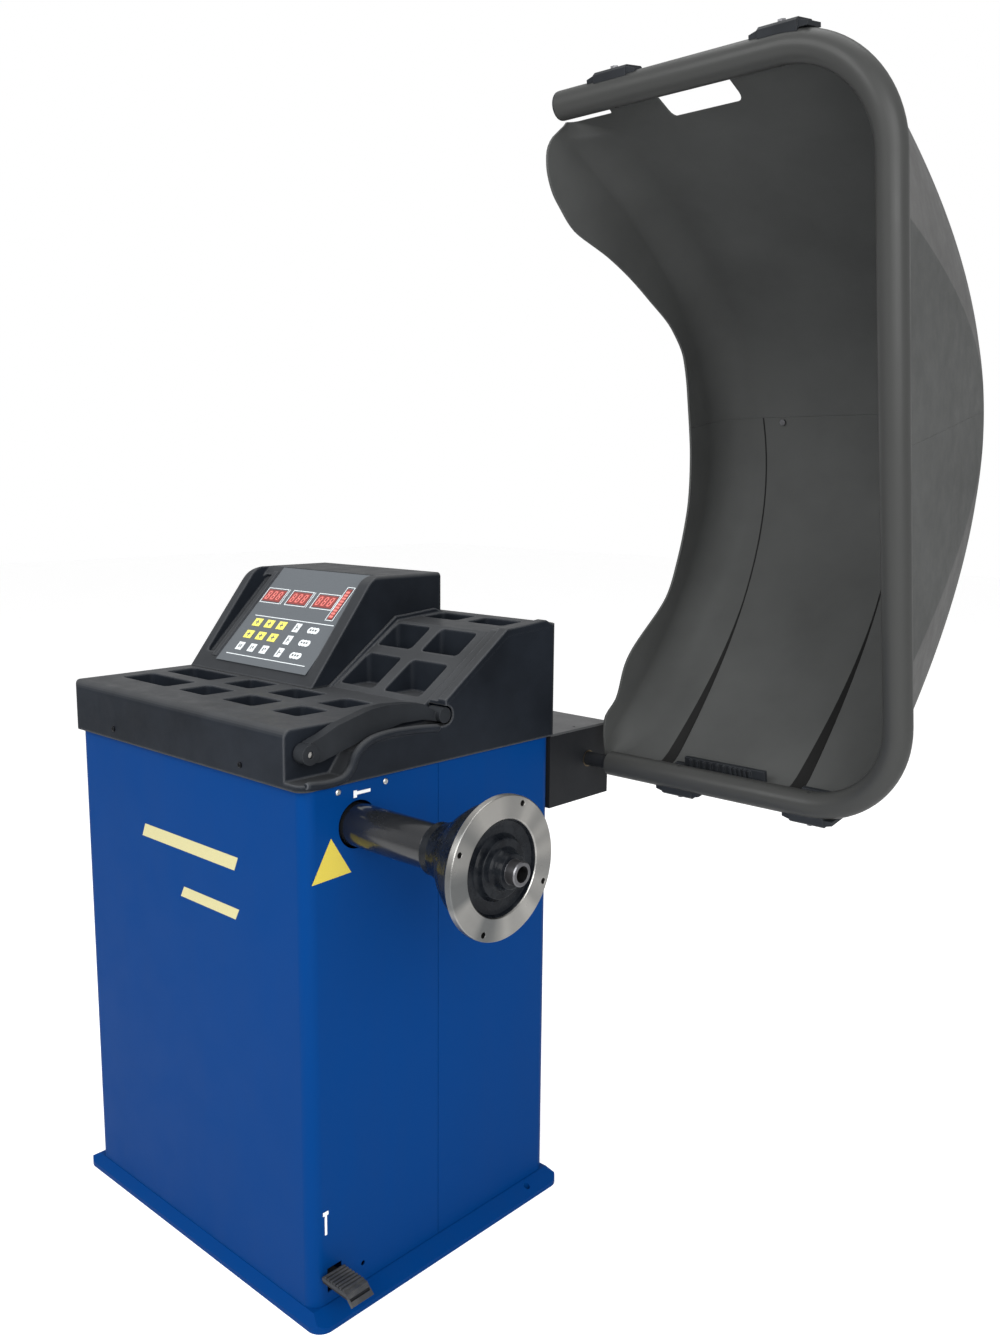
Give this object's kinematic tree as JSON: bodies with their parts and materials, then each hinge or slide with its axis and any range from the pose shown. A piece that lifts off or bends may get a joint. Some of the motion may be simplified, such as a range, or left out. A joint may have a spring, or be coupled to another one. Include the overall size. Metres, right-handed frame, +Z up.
{
  "type": "wheel balancer machine",
  "caption": "Wheel balancer: sheet steel cabinet with moulded weight tray and keypad console, spindle with wheel flange, pull-out gauge arm, foot brake and a swinging wheel hood.",
  "frame": {"origin": "centre of the base footprint, on the floor", "axes": "+X along the spindle towards the wheel, -Y towards the operator, +Z up"},
  "size_m": [1.2557, 1.0437, 1.8619],
  "materials": {
    "blue_paint": "satin",
    "black_moulding": "satin",
    "hood_plastic": "satin",
    "tube_paint": "gloss",
    "frame_paint": "satin",
    "cover_paint": "satin",
    "housing_paint": "gloss",
    "machined_steel": "satin",
    "flange_steel": "satin",
    "dark_steel": "satin",
    "zinc_plate": "satin",
    "spring_steel": "satin",
    "cast_aluminium": "satin",
    "bronze": "satin",
    "motor_paint": "satin",
    "coil_core": "satin",
    "brake_lining": "matte",
    "rubber": "matte",
    "black_plastic": "satin",
    "panel_film": "satin",
    "led_red": "gloss",
    "key_yellow": "satin",
    "key_white": "satin",
    "circuit_board": "satin",
    "white_plastic": "satin",
    "label_yellow": "satin",
    "label_cream": "satin"
  },
  "bodies": {
    "cabinet": {"base_plate": "blue_paint", "front_cover": "blue_paint", "rear_cover": "blue_paint", "inner_frame": "frame_paint", "cover_screws": "zinc_plate", "weight_tray": "black_moulding", "console_housing": "black_moulding", "display_panel": "panel_film", "led_windows": "led_red", "yellow_keys": "key_yellow", "white_keys": "key_white", "panel_lines": "key_white", "control_board": "circuit_board", "power_board": "circuit_board", "transformer": "coil_core", "mains_inlet": "black_plastic", "spindle_housing": "housing_paint", "housing_bracket": "frame_paint", "shaft_seals": "rubber", "bearing_outer_rings": "machined_steel", "bearing_balls": "machined_steel", "pickup_sensors": "machined_steel", "encoder_sensor": "black_plastic", "drive_motor": "motor_paint", "motor_bracket": "zinc_plate", "drive_belt": "rubber", "gauge_guide": "zinc_plate", "gauge_sensor": "black_plastic", "hinge_box": "frame_paint", "hinge_box_cover": "cover_paint", "hinge_bushes": "bronze", "hood_switch": "black_plastic", "hood_spring": "spring_steel", "pedal_bracket": "frame_paint", "pedal_spring": "spring_steel", "panel_clips": "white_plastic", "side_label": "label_yellow", "front_stripes": "label_cream"},
    "spindle": {"spindle_shaft": "dark_steel", "bearing_inner_rings": "machined_steel", "wheel_flange": "flange_steel", "driven_pulley": "cast_aluminium", "encoder_disc": "cast_aluminium"},
    "motor_rotor": {"motor_shaft": "machined_steel", "motor_pulley": "cast_aluminium"},
    "hood": {"hinge_shaft": "frame_paint", "hood_frame": "tube_paint", "frame_end_cap": "black_plastic", "hood_upper_shell": "hood_plastic", "hood_lower_shell": "hood_plastic", "hood_clamps": "black_plastic", "hood_bolts": "zinc_plate"},
    "gauge_carriage": {"gauge_rod": "machined_steel"},
    "gauge_swing_arm": {"gauge_arm": "black_plastic", "gauge_tip": "machined_steel"},
    "pedal": {"brake_pedal": "frame_paint", "pedal_pad": "rubber"},
    "brake_plunger": {"brake_rod": "spring_steel", "brake_shoe": "brake_lining"},
    "switch_rocker": {"mains_rocker": "black_plastic"}
  },
  "joints": [
    {"name": "spindle_spin", "type": "hinge", "parent": "cabinet", "child": "spindle", "pos_m": [0, -0.17, 0.766], "axis": [1, 0, 0], "continuous": true},
    {"name": "motor_spin", "type": "hinge", "parent": "cabinet", "child": "motor_rotor", "pos_m": [0, -0.06, 0.56], "axis": [1, 0, 0], "continuous": true},
    {"name": "hood_swing", "type": "hinge", "parent": "cabinet", "child": "hood", "pos_m": [0.361, 0.376, 0.772], "axis": [1, 0, 0], "range_deg": [0, 80.5], "deforming": ["hood_spring"]},
    {"name": "gauge_pull", "type": "slide", "parent": "cabinet", "child": "gauge_carriage", "axis": [1, 0, 0], "range_m": [0, 0.22]},
    {"name": "gauge_lift", "type": "hinge", "parent": "gauge_carriage", "child": "gauge_swing_arm", "pos_m": [0.297, 0.007, 0.904], "axis": [-1, 0, 0], "range_deg": [0, 55]},
    {"name": "brake_press", "type": "hinge", "parent": "cabinet", "child": "pedal", "pos_m": [0.15, -0.226, 0.066], "axis": [0, 1, 0], "range_deg": [0, 4.1]},
    {"name": "brake_rod_rise", "type": "slide", "parent": "cabinet", "child": "brake_plunger", "axis": [0, 0, 1], "range_m": [0, 0.0126], "deforming": ["pedal_spring"]},
    {"name": "mains_switch", "type": "hinge", "parent": "cabinet", "child": "switch_rocker", "pos_m": [-0.23, 0.263, 0.145], "axis": [1, 0, 0], "range_deg": [0, 16]}
  ],
  "couplings": [
    {"joint": "motor_spin", "follows": "spindle_spin", "ratio": 3},
    {"joint": "brake_rod_rise", "follows": "brake_press", "m_per_rad": 0.174}
  ]
}
